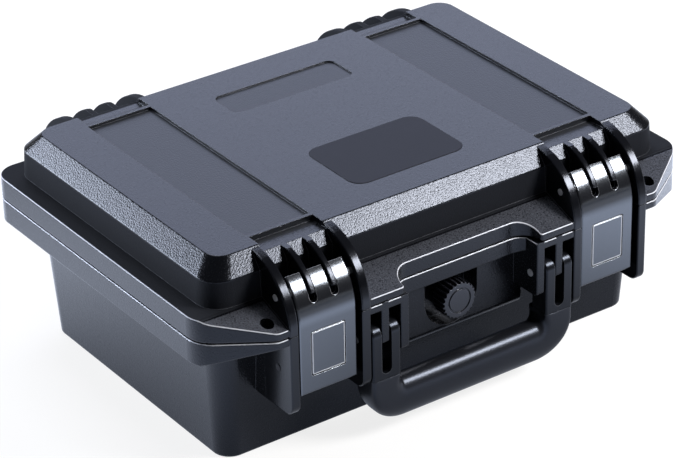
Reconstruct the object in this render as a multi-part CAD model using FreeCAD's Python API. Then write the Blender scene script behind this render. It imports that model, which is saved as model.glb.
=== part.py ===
import FreeCAD
import Part
import math
import os

# Hard case lying on its base: x to the right, y to the back, z up, in millimetres.
# The origin is the middle of the face that the case rests on.

# Rim, shared by base and lid
rim_length = 300.0
rim_back = 99.0
rim_shelf = 23.1
rim_side_overhang = 10.0
rim_back_overhang = 6.5
rim_tab_run = 32.5
rim_tab_depth = 21.6
rim_side_radius = 16.0
rim_tab_radius = 6.0
rim_back_radius = 12.0
rim_gap = 0.4
lid_rim_height = 12.5
base_rim_height = 13.3
rim_slope_lead = 1.3
lid_rim_lip = 4.2
base_rim_lip = 4.1
rim_edge_radius = 0.9
notch_side = 26.0
notch_side_step = 1.1
notch_radius = 10.0
notch_edge_radius = 1.5

# Lid shell
case_height = 116.9
lid_height = 35.8
lid_foot_radius = 13.0
lid_draft = 0.8
lid_shoulder_radius = 12.0
lid_chamfer_height = 8.9
lid_chamfer_side = 8.0
lid_chamfer_front = 7.85
lid_top_radius = 9.0
lid_edge_radius = 0.8
wall = 3.5
roof = 5.7

# Sunk fields of the lid top
panel_inner_inset = 0.5
panel_outer_reach = 1.0
panel_front_margin = 10.65
panel_back_margin = 12.35
panel_depth = 1.7
panel_bar = 2.2
ledge_depth = 3.0
badge_half_width = 38.0
badge_margin = 23.85
badge_length = 22.5
badge_radius = 4.5
badge_depth = 0.8
label_half_width = 35.0
label_margin = 18.35
label_length = 46.7
label_radius = 8.0
label_thickness = 0.7
label_proud = 0.2
label_gap = 0.2

# Base shell
base_mouth_inset = 6.25
base_mouth_radius = 12.0
base_draft = 4.4
base_floor_radius = 10.0
base_edge_radius = 1.5

# Seal groove and tongue
seal_side_inset = 6.5
seal_back_inset = 5.0
seal_path_radius = 14.0
groove_width = 4.0
groove_depth = 5.0
seal_height = 2.8
seal_gap = 0.2
tongue_width = 2.4
tongue_height = 2.2

# Ribs of the latch bays, which the hinges repeat at the back
bay_side_inset = 44.0
bay_width = 37.5
bay_depth = 17.1
rib = 5.0
rib_proud = 0.6
rib_back_reach = 17.2
rib_top_drop = 0.85
rib_arc_rise = 1.1
mid_rib = 3.2
mid_rib_shares = (1 / 3, 2 / 3)
mid_rib_inset = 0.85
base_rib_drop = 45.1
rib_corner_radius = 6.0
rib_edge_radius = 0.7

# Pins
small_pin_radius = 1.75
large_pin_radius = 2.0
pin_proud = 0.3
pin_clearance = 0.05

# Latch lever
latch_side_gap = 1.7
latch_inset = 2.4
latch_drop = 36.7
latch_wall = 2.4
latch_depth = 6.6
latch_pin_inset = 11.9
latch_pin_rise = 17.1
latch_hub_radius = 4.0
latch_end_angle = 130.0
latch_slot_rise = 11.9
latch_slot_gap = 0.6
latch_cavity_rise = 2.9
latch_edge_radius = 1.2
latch_back_plate = 1.0
latch_back_gap = 0.2
catch_pin_inset = 11.2
catch_pin_drop = 21.3

# Press button and its bow spring
button_width = 19.4
button_height = 23.8
button_drop = 26.8
button_gap = 0.5
button_proud = 0.1
button_flange = 1.2
button_flange_thickness = 0.8
button_flange_gap = 0.3
button_corner_radius = 0.8
button_edge_radius = 0.4
spring_strip = 0.3
spring_width = 9.0
spring_length = 17.0
spring_gap = 0.1

# Hinge
hinge_offset = 9.5
hinge_radius = 8.0
hinge_lug_gap = 0.6

# Handle and its brackets
handle_pin_drop = 18.9
handle_eye_radius = 6.0
bracket_mid_offset = 16.5
bracket_mid_width = 4.6
bracket_mid_drop = 24.1
bracket_inner_offset = 28.5
bracket_inner_width = 5.0
bracket_inner_drop = 31.1
bracket_tip_radius = 2.5
handle_side_gap = 0.7
handle_slot_drop = 21.6
handle_seam_drop = 24.7
handle_core_inset = 4.0
handle_tang_width = 6.0
handle_core_depth = 7.0
handle_core_height = 8.0
handle_edge_radius = 1.2
grip_drop = 30.2
grip_height = 22.5
grip_outer_radius = 21.0
grip_inner_radius = 4.0
grip_thickness = 15.5
grip_proud = 0.3
grip_round = 6.0

# Front panel, valve pocket and pressure valve
panel_wall_inset = 19.1
panel_wall_drop = 44.1
panel_wall_radius = 5.0
valve_drop = 10.8
pocket_radius = 16.5
pocket_sink = 0.75
valve_boss_radius = 13.0
valve_boss_depth = 5.0
bush_radius = 6.0
bush_collar_radius = 8.5
bush_collar_length = 7.4
bush_tail = 8.0
valve_seal_thickness = 1.0
washer_radius = 10.0
washer_thickness = 1.2
nut_across_flats = 17.0
nut_thickness = 4.5
knob_radius = 10.25
knob_thickness = 9.4
knob_gap = 0.5
knob_lobes = 24
knob_lobe_radius = 1.0
knob_ring_radius = 6.6
knob_ring_width = 1.0
knob_ring_depth = 0.8
knob_edge_radius = 0.7
stem_radius = 3.5
stem_length = 10.0

# Padlock holes through both rims
padlock_side_gap = 7.4
padlock_inset = 7.8
padlock_radius = 3.45

# Amount by which cutting shapes pass the faces that they cut
overrun = 2.0

# Heights worked out from the sizes above
parting_height = case_height - lid_height
base_rim_top = parting_height - rim_gap / 2
lid_rim_bottom = parting_height + rim_gap / 2
lid_rim_top = parting_height + lid_rim_height
base_rim_bottom = parting_height - base_rim_height
lid_shoulder_height = case_height - lid_chamfer_height
rib_arc_z = parting_height + rib_arc_rise
rib_arc_radius = lid_height - rib_arc_rise - rib_top_drop
base_rib_bottom = parting_height - base_rib_drop
latch_bottom = parting_height - latch_drop
latch_pin_z = parting_height + latch_pin_rise
latch_slot_end = parting_height + latch_slot_rise
latch_cavity_top = parting_height + latch_cavity_rise
catch_pin_z = parting_height - catch_pin_drop
button_bottom = parting_height - button_drop
bracket_mid_bottom = parting_height - bracket_mid_drop
bracket_inner_bottom = parting_height - bracket_inner_drop
handle_pin_z = parting_height - handle_pin_drop
handle_slot_end = handle_pin_z - handle_slot_drop
handle_seam = handle_pin_z - handle_seam_drop
grip_top = handle_pin_z - grip_drop
grip_bottom = grip_top - grip_height
panel_wall_bottom = parting_height - panel_wall_drop
valve_height = base_rim_bottom - valve_drop

# Lengths and depths of the shells, which lie about the middle of the case
lid_foot_length = rim_length - rim_side_overhang * 2
lid_foot_depth = (rim_back - rim_back_overhang) * 2
lid_shoulder_length = lid_foot_length - lid_draft * 2
lid_shoulder_depth = lid_foot_depth - lid_draft * 2
lid_top_length = lid_shoulder_length - lid_chamfer_side * 2
lid_top_depth = lid_shoulder_depth - lid_chamfer_front * 2
base_mouth_length = lid_foot_length - base_mouth_inset * 2
base_mouth_depth = lid_foot_depth - base_mouth_inset * 2
base_floor_length = base_mouth_length - base_draft * 2
base_floor_depth = base_mouth_depth - base_draft * 2
seal_path_length = rim_length - seal_side_inset * 2
seal_path_depth = (rim_back - seal_back_inset) * 2

# Places from the middle of the case to the right
bay_outer = rim_length / 2 - bay_side_inset
bay_inner = bay_outer - bay_width
mid_rib_centres = [bay_inner + bay_width * share for share in mid_rib_shares]
rim_tab_width = rim_length / 2 - rim_tab_run
notch_half_width = bay_inner - notch_side
panel_inner = bay_inner + panel_inner_inset
panel_outer = bay_outer + panel_outer_reach
latch_inner = bay_inner + latch_side_gap
latch_outer = bay_outer - latch_side_gap
latch_centre = (latch_inner + latch_outer) / 2
bracket_mid_inner = bay_inner - bracket_mid_offset
bracket_mid_outer = bracket_mid_inner + bracket_mid_width
bracket_inner_rib_inner = bay_inner - bracket_inner_offset
bracket_inner_rib_outer = bracket_inner_rib_inner + bracket_inner_width
handle_inner = bracket_inner_rib_outer + handle_side_gap
handle_outer = bay_inner - rib - handle_side_gap
padlock_x = bay_outer + rib + padlock_side_gap

# Places from the middle of the case to the front or back
rim_front = lid_foot_depth / 2 + rim_shelf
rim_side_front = rim_front - rim_tab_depth
notch_depth = notch_radius + notch_edge_radius + notch_side_step
rim_slope_start = rim_side_front - rim_slope_lead
bay_rim_front = rim_front - bay_depth
rib_front = rim_front + rib_proud
rib_back = rim_back + rib_back_reach
rib_front_arc_y = rib_arc_radius - rib_front
rib_back_arc_y = rib_back - rib_arc_radius
panel_front = lid_top_depth / 2 - panel_front_margin
panel_back = lid_top_depth / 2 - panel_back_margin
badge_back = lid_top_depth / 2 - badge_margin
badge_front = badge_back - badge_length
label_front = lid_top_depth / 2 - label_margin
label_back = label_front - label_length
latch_front = rib_front - latch_inset
latch_back = latch_front - latch_depth
latch_arc = rib_arc_radius - latch_inset
latch_pin_y = latch_pin_inset - rib_front
catch_pin_y = catch_pin_inset - rib_front
handle_pin_y = handle_eye_radius - rib_front
hinge_y = rim_back + hinge_offset
panel_wall_front = rim_front - panel_wall_inset
pocket_floor = base_mouth_depth / 2 - pocket_sink
valve_boss_face = pocket_floor - valve_boss_depth
padlock_y = padlock_inset - rim_front
far = rim_length + case_height


def point(x, y, z):
    return FreeCAD.Vector(x, y, z)


def on_floor(u, v):
    return point(u, v, 0)


def on_side(u, v):
    return point(0, u, v)


def on_front(u, v):
    return point(u, 0, v)


def loop(corners, place):
    # Closed wire through corners (u, v, radius), each corner rounded by its radius
    ends = []
    count = len(corners)
    for index in range(count):
        u, v, radius = corners[index]
        here = point(u, v, 0)
        before = point(corners[index - 1][0], corners[index - 1][1], 0)
        after = point(corners[(index + 1) % count][0], corners[(index + 1) % count][1], 0)
        to_before = (before - here).normalize()
        to_after = (after - here).normalize()
        half = to_before.getAngle(to_after) / 2
        if radius:
            run = radius / math.tan(half)
            middle = (to_before + to_after).normalize()
            reach = radius / math.sin(half) - radius
            ends.append((here + to_before * run, here + middle * reach, here + to_after * run))
        else:
            ends.append((here, None, here))
    edges = []
    for index in range(count):
        start, middle, finish = ends[index]
        following = ends[(index + 1) % count][0]
        if middle is not None:
            arc = Part.Arc(place(start.x, start.y), place(middle.x, middle.y), place(finish.x, finish.y))
            edges.append(arc.toShape())
        if (following - finish).Length > pin_clearance:
            line = Part.LineSegment(place(finish.x, finish.y), place(following.x, following.y))
            edges.append(line.toShape())
    return Part.Wire(edges)


def rectangle(length, depth, radius):
    u = length / 2
    v = depth / 2
    return [(-u, -v, radius), (u, -v, radius), (u, v, radius), (-u, v, radius)]


def box_corners(u_low, u_high, v_low, v_high, radius):
    places = ((u_low, v_low), (u_high, v_low), (u_high, v_high), (u_low, v_high))
    return [(u, v, radius) for u, v in places]


def slab(corners, z_low, z_high):
    outline = loop(corners, on_floor)
    outline.translate(point(0, 0, z_low))
    return Part.Face(outline).extrude(point(0, 0, z_high - z_low))


def side_plate(corners, x_low, x_high):
    outline = loop(corners, on_side)
    outline.translate(point(x_low, 0, 0))
    return Part.Face(outline).extrude(point(x_high - x_low, 0, 0))


def front_plate(corners, y_low, y_high):
    outline = loop(corners, on_front)
    outline.translate(point(0, y_low, 0))
    return Part.Face(outline).extrude(point(0, y_high - y_low, 0))


def block(x_low, x_high, y_low, y_high, z_low, z_high):
    return Part.makeBox(x_high - x_low, y_high - y_low, z_high - z_low, point(x_low, y_low, z_low))


def rod_x(radius, x_low, x_high, y, z):
    return Part.makeCylinder(radius, x_high - x_low, point(x_low, y, z), point(1, 0, 0))


def rod_y(radius, y_low, y_high, x, z):
    return Part.makeCylinder(radius, y_high - y_low, point(x, y_low, z), point(0, 1, 0))


def rod_z(radius, z_low, z_high, x, y):
    return Part.makeCylinder(radius, z_high - z_low, point(x, y, z_low), point(0, 0, 1))


def rib_rod(radius, beyond, y, z):
    # Rod along x through all ribs of one bay, reaching beyond the outermost faces
    return rod_x(radius, bay_inner - rib - beyond, bay_outer + rib + beyond, y, z)


def tapered(levels):
    # Straight-sided body through rounded rectangles (length, depth, radius, height)
    wires = []
    for length, depth, radius, height in levels:
        outline = loop(rectangle(length, depth, radius), on_floor)
        outline.translate(point(0, 0, height))
        wires.append(outline)
    return Part.makeLoft(wires, True, True)


def inside(length, depth, radius, height):
    # Level of a room one wall inside the level of its shell
    return (length - wall * 2, depth - wall * 2, radius - wall, height)


def mirrored(shape):
    return shape.mirror(point(0, 0, 0), point(1, 0, 0))


def both_sides(shapes):
    return shapes + [mirrored(shape) for shape in shapes]


def joined(shapes):
    return shapes[0].fuse(shapes[1:]).removeSplitter()


def softened(shape, radius, chosen):
    edges = [edge for edge in shape.Edges if chosen(edge)]
    return shape.makeFillet(radius, edges)


def solid_of(shape):
    return shape.Solids[0]


def at_height(edge, height):
    box = edge.BoundBox
    return abs(box.ZMin - height) < pin_clearance and abs(box.ZMax - height) < pin_clearance


def rim_outline():
    half = rim_length / 2
    right = [
        (notch_half_width, -rim_front + notch_depth, notch_radius),
        (notch_half_width, -rim_front, notch_edge_radius),
        (bay_inner, -rim_front, 0),
        (bay_inner, -bay_rim_front, 0),
        (bay_outer, -bay_rim_front, 0),
        (bay_outer, -rim_front, 0),
        (rim_tab_width, -rim_front, rim_tab_radius),
        (half, -rim_side_front, rim_side_radius),
        (half, rim_back, rim_back_radius),
    ]
    left = [(-x, y, radius) for x, y, radius in reversed(right)]
    return right + left


def front_slope(edge_height, start_height):
    # Wedge outside the sloping face of a rim at the front, from slope start to rim edge
    run = rim_front - rim_slope_start
    rise = start_height - edge_height
    reach = run + rim_front
    away = start_height + rise / abs(rise) * rim_front
    corners = [
        (-rim_slope_start, start_height, 0),
        (-rim_slope_start, away, 0),
        (-rim_slope_start - reach, away, 0),
        (-rim_slope_start - reach, start_height - rise * reach / run, 0),
    ]
    return side_plate(corners, -far, far)


def on_rim_edge(edge):
    # Outer edges of a rim: neither upright nor the crease where the front begins to slope
    box = edge.BoundBox
    upright = box.XLength + box.YLength < pin_clearance
    crease = box.YMax > -rim_slope_start - pin_clearance and box.YMin < -rim_slope_start + pin_clearance
    return not upright and not (crease and box.XLength > notch_half_width)


def lid_rim():
    rim = slab(rim_outline(), lid_rim_bottom, lid_rim_top)
    rim = rim.cut(front_slope(lid_rim_bottom + lid_rim_lip, lid_rim_top))
    return softened(rim, rim_edge_radius, on_rim_edge)


def base_rim():
    rim = slab(rim_outline(), base_rim_bottom, base_rim_top)
    rim = rim.cut(front_slope(base_rim_top - base_rim_lip, base_rim_bottom))
    return softened(rim, rim_edge_radius, on_rim_edge)


def ring_path(offset, z_low, z_high):
    grown = rectangle(seal_path_length + offset * 2, seal_path_depth + offset * 2, seal_path_radius + offset)
    return slab(grown, z_low, z_high)


def ring(width, z_low, z_high):
    return ring_path(width / 2, z_low, z_high).cut(ring_path(-width / 2, z_low, z_high))


def rib_disc(radius, x_low, x_high, arc_y, z_low, z_high):
    # Quarter disc that stands on the front or back of the shells, on the outer side of its arc's centre
    disc = rod_x(radius, x_low, x_high, arc_y, rib_arc_z)
    disc = softened(disc, rib_edge_radius, lambda edge: edge.BoundBox.XLength < pin_clearance)
    y_ends = sorted((arc_y, math.copysign(far, arc_y)))
    return disc.common(block(x_low, x_high, y_ends[0], y_ends[1], z_low, z_high))


def outer_stations():
    return [(bay_inner - rib, bay_inner), (bay_outer, bay_outer + rib)]


def mid_stations():
    return [(centre - mid_rib / 2, centre + mid_rib / 2) for centre in mid_rib_centres]


def lid_front_ribs():
    ribs = []
    for low, high in outer_stations():
        ribs.append(rib_disc(rib_arc_radius, low, high, rib_front_arc_y, lid_rim_bottom, case_height))
    hub = latch_hub_radius + latch_slot_gap / 2
    mid_radius = rib_arc_radius - mid_rib_inset
    for low, high in mid_stations():
        ribs.append(rib_disc(mid_radius, low, high, rib_front_arc_y, latch_pin_z, case_height))
        ribs.append(rod_x(hub, low, high, latch_pin_y, latch_pin_z))
        ribs.append(block(low, high, latch_pin_y, rib_front_arc_y, lid_rim_top - lid_rim_lip, latch_pin_z))
    return ribs


def lid_back_ribs():
    ribs = []
    for low, high in outer_stations() + mid_stations():
        ribs.append(rib_disc(rib_arc_radius, low, high, rib_back_arc_y, lid_rim_bottom, case_height))
        ribs.append(rod_x(hinge_radius, low, high, hinge_y, parting_height))
    return ribs


def lid_fields():
    # Sunk panels, ledges over the ribs, badge field and label field
    top = case_height + overrun
    cuts = []
    panel = box_corners(panel_inner, panel_outer, -panel_front, panel_back, 0)
    cuts.append(slab(panel, case_height - panel_depth, top))
    ledge = case_height - ledge_depth
    cuts.append(block(bay_inner, bay_outer, -far, -panel_front - panel_bar, ledge, top))
    cuts.append(block(bay_inner, bay_outer, panel_back + panel_bar, far, ledge, top))
    cuts = both_sides(cuts)
    badge = box_corners(-badge_half_width, badge_half_width, badge_front, badge_back, badge_radius)
    cuts.append(slab(badge, case_height - badge_depth, top))
    label = box_corners(-label_half_width, label_half_width, -label_front, -label_back, label_radius)
    cuts.append(slab(label, case_height - label_thickness + label_proud, top))
    return cuts


def lid_shell():
    levels = [
        (lid_foot_length, lid_foot_depth, lid_foot_radius, lid_rim_bottom),
        (lid_foot_length, lid_foot_depth, lid_foot_radius, lid_rim_top),
        (lid_shoulder_length, lid_shoulder_depth, lid_shoulder_radius, lid_shoulder_height),
        (lid_top_length, lid_top_depth, lid_top_radius, case_height),
    ]
    cover = tapered(levels)
    cover = softened(cover, lid_edge_radius, lambda edge: at_height(edge, lid_shoulder_height)
                     or at_height(edge, case_height))
    inner_shoulder = lid_shoulder_height - wall / 2
    ceiling = case_height - roof
    slope = (lid_shoulder_length - lid_top_length) / (case_height - lid_shoulder_height)
    shrink = wall * 2 + slope * (ceiling - inner_shoulder)
    room = tapered([
        inside(lid_foot_length, lid_foot_depth, lid_foot_radius, lid_rim_bottom - overrun),
        inside(lid_shoulder_length, lid_shoulder_depth, lid_shoulder_radius, inner_shoulder),
        (lid_shoulder_length - shrink, lid_shoulder_depth - shrink, lid_top_radius - wall, ceiling),
    ])
    ribs = both_sides(lid_front_ribs() + lid_back_ribs())
    shell = joined([cover, lid_rim()] + ribs)
    cuts = [room, ring(groove_width, lid_rim_bottom - overrun, lid_rim_bottom + groove_depth)]
    holes = [
        rib_rod(small_pin_radius + pin_clearance, overrun, latch_pin_y, latch_pin_z),
        rib_rod(large_pin_radius + pin_clearance, overrun, hinge_y, parting_height),
        rod_z(padlock_radius, 0, case_height, padlock_x, padlock_y),
    ]
    shell = shell.cut(cuts + both_sides(holes) + lid_fields())
    return solid_of(shell)


def hinge_lugs():
    # Base lugs between the hinge ribs of the lid
    stations = sorted(outer_stations() + mid_stations())
    lugs = []
    for before, after in zip(stations, stations[1:]):
        low = before[1] + hinge_lug_gap
        high = after[0] - hinge_lug_gap
        disc = rod_x(rib_arc_radius, low, high, rib_back_arc_y, base_rim_top - rib_arc_rise)
        lugs.append(disc.common(block(low, high, rib_back_arc_y, far, 0, base_rim_top - rib_arc_rise)))
        lugs.append(rod_x(hinge_radius, low, high, hinge_y, parting_height))
    return lugs


def on_rib_front(edge, front):
    # Long edges of a rib's front face and of its rounded tip
    box = edge.BoundBox
    return box.XLength < pin_clearance and box.YMin < front + pin_clearance


def base_front_ribs():
    behind = -base_floor_depth / 2 + overrun
    inner_edge = -rim_slope_start
    ribs = []
    for low in (bay_inner - rib, bay_outer):
        corners = [
            (-rib_front, base_rib_bottom, rib_corner_radius),
            (behind, base_rib_bottom, 0),
            (behind, base_rim_top, 0),
            (-rib_front, base_rim_top, 0),
        ]
        plate = side_plate(corners, low, low + rib)
        ribs.append(softened(plate, rib_edge_radius, lambda edge: on_rib_front(edge, -rib_front)))
    brackets = (
        (bracket_mid_inner, bracket_mid_outer, bracket_mid_bottom),
        (bracket_inner_rib_inner, bracket_inner_rib_outer, bracket_inner_bottom),
    )
    for low, high, bottom in brackets:
        corners = [
            (-rim_front, bottom, bracket_tip_radius),
            (inner_edge, bottom, 0),
            (behind, base_rib_bottom, 0),
            (behind, base_rim_top, 0),
            (-rim_front, base_rim_top, 0),
        ]
        plate = side_plate(corners, low, high)
        ribs.append(softened(plate, rib_edge_radius, lambda edge: on_rib_front(edge, -rim_front)))
    return ribs


def valve_panel():
    behind = -base_floor_depth / 2 + overrun
    half = bracket_inner_rib_outer
    corners = [
        (-panel_wall_front, panel_wall_bottom, panel_wall_radius),
        (behind, panel_wall_bottom - wall, 0),
        (behind, base_rim_top, 0),
        (-panel_wall_front, base_rim_top, 0),
    ]
    return side_plate(corners, -half, half)


def valve_pocket():
    corners = [
        (-pocket_radius, valve_height - pocket_radius, pocket_radius),
        (pocket_radius, valve_height - pocket_radius, pocket_radius),
        (pocket_radius, base_rim_bottom, 0),
        (-pocket_radius, base_rim_bottom, 0),
    ]
    return front_plate(corners, -rim_front, -pocket_floor)


def base_shell():
    tub = tapered([
        (base_floor_length, base_floor_depth, base_floor_radius, 0),
        (base_mouth_length, base_mouth_depth, base_mouth_radius, base_rim_bottom),
        (base_mouth_length, base_mouth_depth, base_mouth_radius, base_rim_top),
    ])
    tub = softened(tub, base_edge_radius, lambda edge: at_height(edge, 0))
    room = tapered([
        inside(base_floor_length, base_floor_depth, base_floor_radius, wall),
        inside(base_mouth_length, base_mouth_depth, base_mouth_radius, base_rim_bottom),
        inside(base_mouth_length, base_mouth_depth, base_mouth_radius, case_height),
    ])
    ribs = both_sides(base_front_ribs() + hinge_lugs())
    tongue = ring(tongue_width, base_rim_top - overrun, base_rim_top + tongue_height)
    shell = joined([tub, base_rim(), valve_panel(), tongue] + ribs)
    shell = shell.cut([room, valve_pocket()])
    boss = rod_y(valve_boss_radius, -pocket_floor, -valve_boss_face, 0, valve_height)
    shell = joined([shell, boss])
    large_hole = large_pin_radius + pin_clearance
    handle_low = bracket_inner_rib_inner - overrun
    holes = [
        rib_rod(small_pin_radius + pin_clearance, overrun, catch_pin_y, catch_pin_z),
        rib_rod(large_hole, overrun, hinge_y, parting_height),
        rod_x(large_hole, handle_low, bay_inner + latch_side_gap, handle_pin_y, handle_pin_z),
        rod_z(padlock_radius, 0, case_height, padlock_x, padlock_y),
    ]
    bush_hole = rod_y(bush_radius + pin_clearance, -rim_front, 0, 0, valve_height)
    shell = shell.cut(both_sides(holes) + [bush_hole])
    return solid_of(shell)


def lid_seal():
    top = lid_rim_bottom + groove_depth
    return solid_of(ring(groove_width - seal_gap * 2, top - seal_height, top))


def label_plate():
    outline = box_corners(
        -label_half_width + label_gap,
        label_half_width - label_gap,
        -label_front + label_gap,
        -label_back - label_gap,
        label_radius - label_gap,
    )
    bottom = case_height - label_thickness + label_proud
    return slab(outline, bottom, bottom + label_thickness)


def latch_arc_ring(outer, inner, x_low, x_high):
    # Curved top of the lever, from the straight front up to the end angle
    turn = math.radians(latch_end_angle)
    ring_part = rod_x(outer, x_low, x_high, rib_front_arc_y, rib_arc_z)
    ring_part = ring_part.cut(rod_x(inner, x_low, x_high, rib_front_arc_y, rib_arc_z))
    wedge = [
        (rib_front_arc_y, rib_arc_z, 0),
        (rib_front_arc_y + far * math.cos(turn), rib_arc_z + far * math.sin(turn), 0),
        (rib_front_arc_y - far, rib_arc_z + far * math.sin(turn), 0),
        (rib_front_arc_y - far, rib_arc_z, 0),
    ]
    return ring_part.common(side_plate(wedge, x_low, x_high))


def on_latch_face(edge):
    # Both long edges of the lever's outer face, straight and curved, and its bottom edge
    middle = edge.valueAt((edge.FirstParameter + edge.LastParameter) / 2)
    reach = math.hypot(middle.y - rib_front_arc_y, middle.z - rib_arc_z)
    curved = abs(reach - latch_arc) < pin_clearance and middle.z > rib_arc_z
    straight = abs(middle.y + latch_front) < pin_clearance and middle.z < rib_arc_z
    at_top = edge.BoundBox.XLength > latch_wall and middle.z > latch_bottom + pin_clearance
    return (curved or straight) and not at_top


def latch_lever():
    low = latch_inner
    high = latch_outer
    case = block(low, high, -latch_front, -latch_back, latch_bottom, rib_arc_z)
    top = latch_arc_ring(latch_arc, latch_arc - latch_wall, low, high)
    shoulder = latch_arc_ring(latch_arc, latch_arc - latch_depth, low, high)
    shoulder = shoulder.common(block(low, high, -far, 0, rib_arc_z, latch_slot_end - latch_hub_radius))
    hub = rod_x(latch_hub_radius, low, high, latch_pin_y, latch_pin_z)
    lever = joined([case, top, shoulder])
    lever = softened(lever, latch_edge_radius, on_latch_face)
    lever = joined([lever, hub])
    cavity = block(low + latch_wall, high - latch_wall, -latch_front + latch_wall, 0,
                   latch_bottom + latch_wall, latch_cavity_top)
    window = front_plate(
        box_corners(
            latch_centre - button_width / 2 - button_gap,
            latch_centre + button_width / 2 + button_gap,
            button_bottom - button_gap,
            button_bottom + button_height + button_gap,
            button_corner_radius + button_gap,
        ),
        -rim_front,
        -latch_back,
    )
    slots = []
    for centre in mid_rib_centres:
        half = mid_rib / 2 + latch_slot_gap
        end = latch_slot_end + half
        slots.append(block(centre - half, centre + half, -rim_front, -bay_rim_front, end, far))
        slots.append(rod_y(half, -rim_front, -bay_rim_front, centre, end))
    hole = rod_x(small_pin_radius + pin_clearance, low - overrun, high + overrun, latch_pin_y, latch_pin_z)
    return solid_of(lever.cut([cavity, window, hole] + slots))


def latch_back_cover():
    gap = latch_back_gap
    return block(
        latch_inner + latch_wall + gap,
        latch_outer - latch_wall - gap,
        -latch_back - latch_back_plate,
        -latch_back,
        latch_bottom + latch_wall + gap,
        latch_cavity_top - gap,
    )


def latch_button():
    low = latch_centre - button_width / 2
    high = latch_centre + button_width / 2
    top = button_bottom + button_height
    flange_front = -latch_front + latch_wall + button_flange_gap
    cap = front_plate(
        box_corners(low, high, button_bottom, top, button_corner_radius),
        -latch_front - button_proud,
        flange_front,
    )
    front = -latch_front - button_proud + pin_clearance
    cap = softened(cap, button_edge_radius, lambda edge: edge.BoundBox.YMax < front)
    over = button_gap + button_flange
    flange = block(low - over, high + over, flange_front, flange_front + button_flange_thickness,
                   button_bottom - over, top + over)
    return solid_of(joined([cap, flange]))


def latch_spring():
    # Bowed strip: its ends bear on the back plate and its middle on the button
    foot = -latch_back - latch_back_plate - spring_gap
    crown = -latch_front + latch_wall + button_flange_gap + button_flange_thickness + spring_gap
    middle = button_bottom + button_height / 2
    rise = foot - crown - spring_strip
    half = spring_length / 2
    radius = (half * half + rise * rise) / (2 * rise)
    centre = crown + spring_strip + radius
    low = latch_centre - spring_width / 2
    high = latch_centre + spring_width / 2
    bow = rod_x(radius + spring_strip, low, high, centre, middle)
    bow = bow.cut(rod_x(radius, low, high, centre, middle))
    return solid_of(bow.common(block(low, high, crown, foot, middle - half, middle + half)))


def latch_pin():
    return rib_rod(small_pin_radius, pin_proud, latch_pin_y, latch_pin_z)


def catch_pin():
    return rib_rod(small_pin_radius, pin_proud, catch_pin_y, catch_pin_z)


def hinge_pin():
    return rib_rod(large_pin_radius, pin_proud, hinge_y, parting_height)


def handle_pin():
    return rod_x(large_pin_radius, bracket_inner_rib_inner - pin_proud, bay_inner, handle_pin_y, handle_pin_z)


def handle_arm():
    front = handle_pin_y - handle_eye_radius
    back = handle_pin_y + handle_eye_radius
    eye = rod_x(handle_eye_radius, handle_inner, handle_outer, handle_pin_y, handle_pin_z)
    arm = joined([eye, block(handle_inner, handle_outer, front, back, handle_seam, handle_pin_z)])
    arm = softened(arm, handle_edge_radius, lambda edge: edge.BoundBox.XLength < pin_clearance
                   and not at_height(edge, handle_seam))
    slot_low = bracket_mid_inner - handle_side_gap
    slot_high = bracket_mid_outer + handle_side_gap
    half = (slot_high - slot_low) / 2
    middle = (slot_high + slot_low) / 2
    slot = joined([
        block(slot_low, slot_high, front - overrun, back + overrun, handle_slot_end + half, far),
        rod_y(half, front - overrun, back + overrun, middle, handle_slot_end + half),
    ])
    hole = rod_x(large_pin_radius + pin_clearance, 0, far, handle_pin_y, handle_pin_z)
    return arm.cut([slot, hole])


def handle_core():
    # Bar and tangs that the soft grip is moulded round
    low = handle_inner + handle_core_inset
    high = low + handle_tang_width
    front = handle_pin_y - handle_core_depth / 2
    back = handle_pin_y + handle_core_depth / 2
    middle = (grip_bottom + grip_top) / 2
    bottom = middle - handle_core_height / 2
    tang = block(low, high, front, back, bottom, handle_seam)
    bar = block(-high, high, front, back, bottom, bottom + handle_core_height)
    return joined([bar, tang, mirrored(tang)])


def handle_frame():
    return solid_of(joined([handle_core(), handle_arm(), mirrored(handle_arm())]))


def handle_grip():
    front = handle_pin_y - handle_eye_radius - grip_proud
    outline = [
        (handle_outer, handle_seam, 0),
        (handle_inner, handle_seam, 0),
        (handle_inner, grip_top, grip_inner_radius),
        (-handle_inner, grip_top, grip_inner_radius),
        (-handle_inner, handle_seam, 0),
        (-handle_outer, handle_seam, 0),
        (-handle_outer, grip_bottom, grip_outer_radius),
        (handle_outer, grip_bottom, grip_outer_radius),
    ]
    grip = front_plate(outline, front, front + grip_thickness)
    grip = softened(grip, grip_round, lambda edge: not at_height(edge, handle_seam)
                    and edge.BoundBox.YLength < pin_clearance)
    return solid_of(grip.cut(handle_core()))


def valve_bush():
    collar_back = -pocket_floor - valve_seal_thickness
    tail_end = -valve_boss_face + bush_tail
    collar = rod_y(bush_collar_radius, collar_back - bush_collar_length, collar_back, 0, valve_height)
    shank = rod_y(bush_radius, collar_back, tail_end, 0, valve_height)
    bore = rod_y(stem_radius + pin_clearance, -rim_front, 0, 0, valve_height)
    return solid_of(joined([collar, shank]).cut(bore))


def ring_y(outer, inner, y_low, y_high):
    return rod_y(outer, y_low, y_high, 0, valve_height).cut(rod_y(inner, y_low, y_high, 0, valve_height))


def valve_seal():
    inner = bush_radius + pin_clearance
    return ring_y(bush_collar_radius, inner, -pocket_floor - valve_seal_thickness, -pocket_floor)


def valve_washer():
    inner = bush_radius + pin_clearance
    return ring_y(washer_radius, inner, -valve_boss_face, -valve_boss_face + washer_thickness)


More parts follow.
